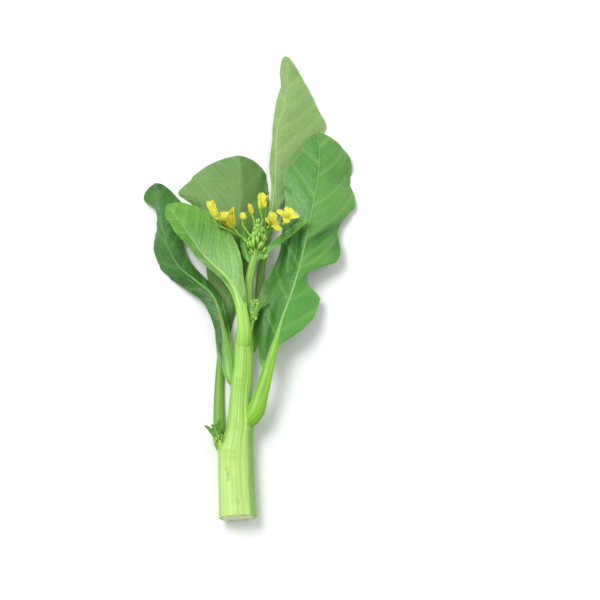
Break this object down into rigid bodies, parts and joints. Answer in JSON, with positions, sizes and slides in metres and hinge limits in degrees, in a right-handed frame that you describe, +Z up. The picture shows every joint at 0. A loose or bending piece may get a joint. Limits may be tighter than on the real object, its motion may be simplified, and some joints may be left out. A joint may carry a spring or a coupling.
{
  "type": "choy sum shoot",
  "caption": "Cut flowering choy sum shoot lying flat: thick jointed stem, stalked oval leaves and a head of yellow flowers.",
  "frame": {"origin": "centre of the bounding box's bottom, on the surface that the shoot lies on", "axes": "+Z up from the surface; +Y along the shoot from its cut end to its leaf tips; +X to its right seen from above"},
  "size_m": [0.13, 0.2972, 0.0335],
  "materials": {
    "stem": "satin",
    "leaf": "satin",
    "leaf_back": "matte",
    "bud": "satin",
    "petal": "matte"
  },
  "bodies": {
    "root": {"stem": "stem", "leaf_right": "leaf", "leaf_left_upper": "leaf", "leaf_left_lower": "leaf", "leaf_back_left": "leaf_back", "leaf_back_right": "leaf_back", "bract_left": "leaf", "bract_right": "leaf", "side_shoot_left": "bud", "side_shoot_right": "bud", "flower_head": "bud", "petals_1": "petal", "petals_2": "petal", "petals_3": "petal", "petals_4": "petal", "petals_5": "petal", "petals_6": "petal", "petals_7": "petal"}
  },
  "joints": []
}
